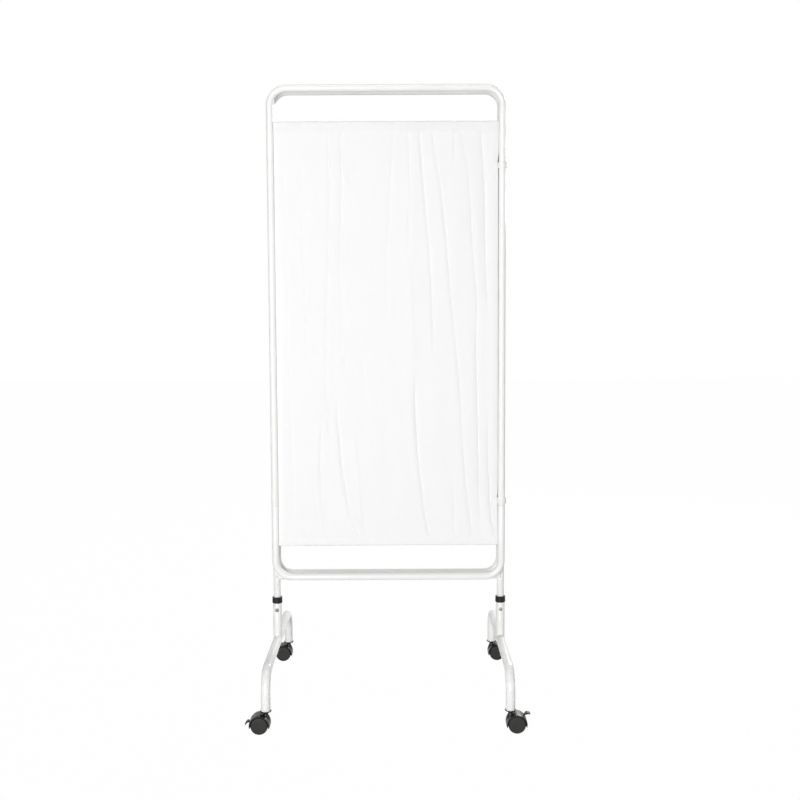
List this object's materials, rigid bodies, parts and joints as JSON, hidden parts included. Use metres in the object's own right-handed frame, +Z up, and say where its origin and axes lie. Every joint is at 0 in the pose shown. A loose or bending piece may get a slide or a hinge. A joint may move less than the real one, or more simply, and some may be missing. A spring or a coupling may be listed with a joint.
{
  "type": "folding ward screen",
  "caption": "Folding ward privacy screen on wheels, shown folded: tube frames with gathered curtains on rods, hinge clips, arched feet and twin-wheel swivel castors with brake levers.",
  "frame": {"origin": "on the floor, midway between the two feet and in the middle plane of the centre frame", "axes": "+X to the right along the screen seen from the front, +Y from the front wing to the rear wing, +Z up"},
  "size_m": [0.7472, 0.6432, 1.7172],
  "materials": {
    "frame_paint": "gloss",
    "clip_plastic": "satin",
    "cloth": "matte",
    "black_plastic": "satin",
    "wheel_plastic": "matte",
    "steel": "satin"
  },
  "bodies": {
    "centre_frame": {"centre_top_hoop": "frame_paint", "centre_left_post": "frame_paint", "centre_right_post": "frame_paint", "centre_lower_rail": "frame_paint", "centre_upper_rod": "frame_paint", "centre_lower_rod": "frame_paint", "centre_curtain": "cloth", "left_foot_tube": "frame_paint", "left_sleeve": "frame_paint", "left_collar": "black_plastic", "left_screw": "steel", "right_foot_tube": "frame_paint", "right_sleeve": "frame_paint", "right_collar": "black_plastic", "right_screw": "steel", "front_left_insert": "black_plastic", "front_left_stem": "steel", "front_right_insert": "black_plastic", "front_right_stem": "steel", "rear_left_insert": "black_plastic", "rear_left_stem": "steel", "rear_right_insert": "black_plastic", "rear_right_stem": "steel"},
    "front_clips": {"right_upper_clip": "clip_plastic", "right_lower_clip": "clip_plastic"},
    "front_wing": {"front_wing_top_hoop": "frame_paint", "front_wing_bottom_hoop": "frame_paint", "front_wing_left_tube": "frame_paint", "front_wing_right_tube": "frame_paint", "front_wing_upper_rod": "frame_paint", "front_wing_lower_rod": "frame_paint", "front_wing_curtain": "cloth"},
    "rear_clips": {"left_upper_clip": "clip_plastic", "left_lower_clip": "clip_plastic"},
    "rear_wing": {"rear_wing_top_hoop": "frame_paint", "rear_wing_bottom_hoop": "frame_paint", "rear_wing_left_tube": "frame_paint", "rear_wing_right_tube": "frame_paint", "rear_wing_upper_rod": "frame_paint", "rear_wing_lower_rod": "frame_paint", "rear_wing_curtain": "cloth"},
    "front_left_castor": {"front_left_castor_body": "black_plastic", "front_left_axle": "steel"},
    "front_left_front_wheel": {"front_left_front_wheel": "wheel_plastic"},
    "front_left_back_wheel": {"front_left_back_wheel": "wheel_plastic"},
    "front_right_castor": {"front_right_castor_body": "black_plastic", "front_right_axle": "steel"},
    "front_right_front_wheel": {"front_right_front_wheel": "wheel_plastic"},
    "front_right_back_wheel": {"front_right_back_wheel": "wheel_plastic"},
    "rear_left_castor": {"rear_left_castor_body": "black_plastic", "rear_left_axle": "steel"},
    "rear_left_front_wheel": {"rear_left_front_wheel": "wheel_plastic"},
    "rear_left_back_wheel": {"rear_left_back_wheel": "wheel_plastic"},
    "rear_right_castor": {"rear_right_castor_body": "black_plastic", "rear_right_axle": "steel"},
    "rear_right_front_wheel": {"rear_right_front_wheel": "wheel_plastic"},
    "rear_right_back_wheel": {"rear_right_back_wheel": "wheel_plastic"},
    "front_left_brake": {"front_left_brake_lever": "black_plastic"},
    "front_right_brake": {"front_right_brake_lever": "black_plastic"}
  },
  "joints": [
    {"name": "front_clips_turn", "type": "hinge", "parent": "centre_frame", "child": "front_clips", "pos_m": [0.32, 0, 1], "axis": [0, 0, 1], "range_deg": [0, 90]},
    {"name": "front_wing_turn", "type": "hinge", "parent": "front_clips", "child": "front_wing", "pos_m": [0.32, -0.024, 1], "axis": [0, 0, 1], "range_deg": [0, 180]},
    {"name": "rear_clips_turn", "type": "hinge", "parent": "centre_frame", "child": "rear_clips", "pos_m": [-0.32, 0, 1], "axis": [0, 0, 1], "range_deg": [0, 90]},
    {"name": "rear_wing_turn", "type": "hinge", "parent": "rear_clips", "child": "rear_wing", "pos_m": [-0.32, 0.024, 1], "axis": [0, 0, 1], "range_deg": [0, 180]},
    {"name": "front_left_swivel", "type": "hinge", "parent": "centre_frame", "child": "front_left_castor", "pos_m": [-0.32, -0.3, 0.056], "axis": [0, 0, 1], "continuous": true},
    {"name": "front_left_front_wheel_spin", "type": "hinge", "parent": "front_left_castor", "child": "front_left_front_wheel", "pos_m": [-0.336, -0.3, 0.023], "axis": [0, 1, 0], "continuous": true},
    {"name": "front_left_back_wheel_spin", "type": "hinge", "parent": "front_left_castor", "child": "front_left_back_wheel", "pos_m": [-0.336, -0.3, 0.023], "axis": [0, 1, 0], "continuous": true},
    {"name": "front_right_swivel", "type": "hinge", "parent": "centre_frame", "child": "front_right_castor", "pos_m": [0.32, -0.3, 0.056], "axis": [0, 0, 1], "continuous": true},
    {"name": "front_right_front_wheel_spin", "type": "hinge", "parent": "front_right_castor", "child": "front_right_front_wheel", "pos_m": [0.336, -0.3, 0.023], "axis": [0, 1, 0], "continuous": true},
    {"name": "front_right_back_wheel_spin", "type": "hinge", "parent": "front_right_castor", "child": "front_right_back_wheel", "pos_m": [0.336, -0.3, 0.023], "axis": [0, 1, 0], "continuous": true},
    {"name": "rear_left_swivel", "type": "hinge", "parent": "centre_frame", "child": "rear_left_castor", "pos_m": [-0.32, 0.3, 0.056], "axis": [0, 0, 1], "continuous": true},
    {"name": "rear_left_front_wheel_spin", "type": "hinge", "parent": "rear_left_castor", "child": "rear_left_front_wheel", "pos_m": [-0.336, 0.3, 0.023], "axis": [0, 1, 0], "continuous": true},
    {"name": "rear_left_back_wheel_spin", "type": "hinge", "parent": "rear_left_castor", "child": "rear_left_back_wheel", "pos_m": [-0.336, 0.3, 0.023], "axis": [0, 1, 0], "continuous": true},
    {"name": "rear_right_swivel", "type": "hinge", "parent": "centre_frame", "child": "rear_right_castor", "pos_m": [0.32, 0.3, 0.056], "axis": [0, 0, 1], "continuous": true},
    {"name": "rear_right_front_wheel_spin", "type": "hinge", "parent": "rear_right_castor", "child": "rear_right_front_wheel", "pos_m": [0.336, 0.3, 0.023], "axis": [0, 1, 0], "continuous": true},
    {"name": "rear_right_back_wheel_spin", "type": "hinge", "parent": "rear_right_castor", "child": "rear_right_back_wheel", "pos_m": [0.336, 0.3, 0.023], "axis": [0, 1, 0], "continuous": true},
    {"name": "front_left_brake_turn", "type": "hinge", "parent": "front_left_castor", "child": "front_left_brake", "pos_m": [-0.3425, -0.3, 0.0325], "axis": [0, 1, 0], "range_deg": [0, 46]},
    {"name": "front_right_brake_turn", "type": "hinge", "parent": "front_right_castor", "child": "front_right_brake", "pos_m": [0.3425, -0.3, 0.0325], "axis": [0, 1, 0], "range_deg": [0, 46]}
  ]
}
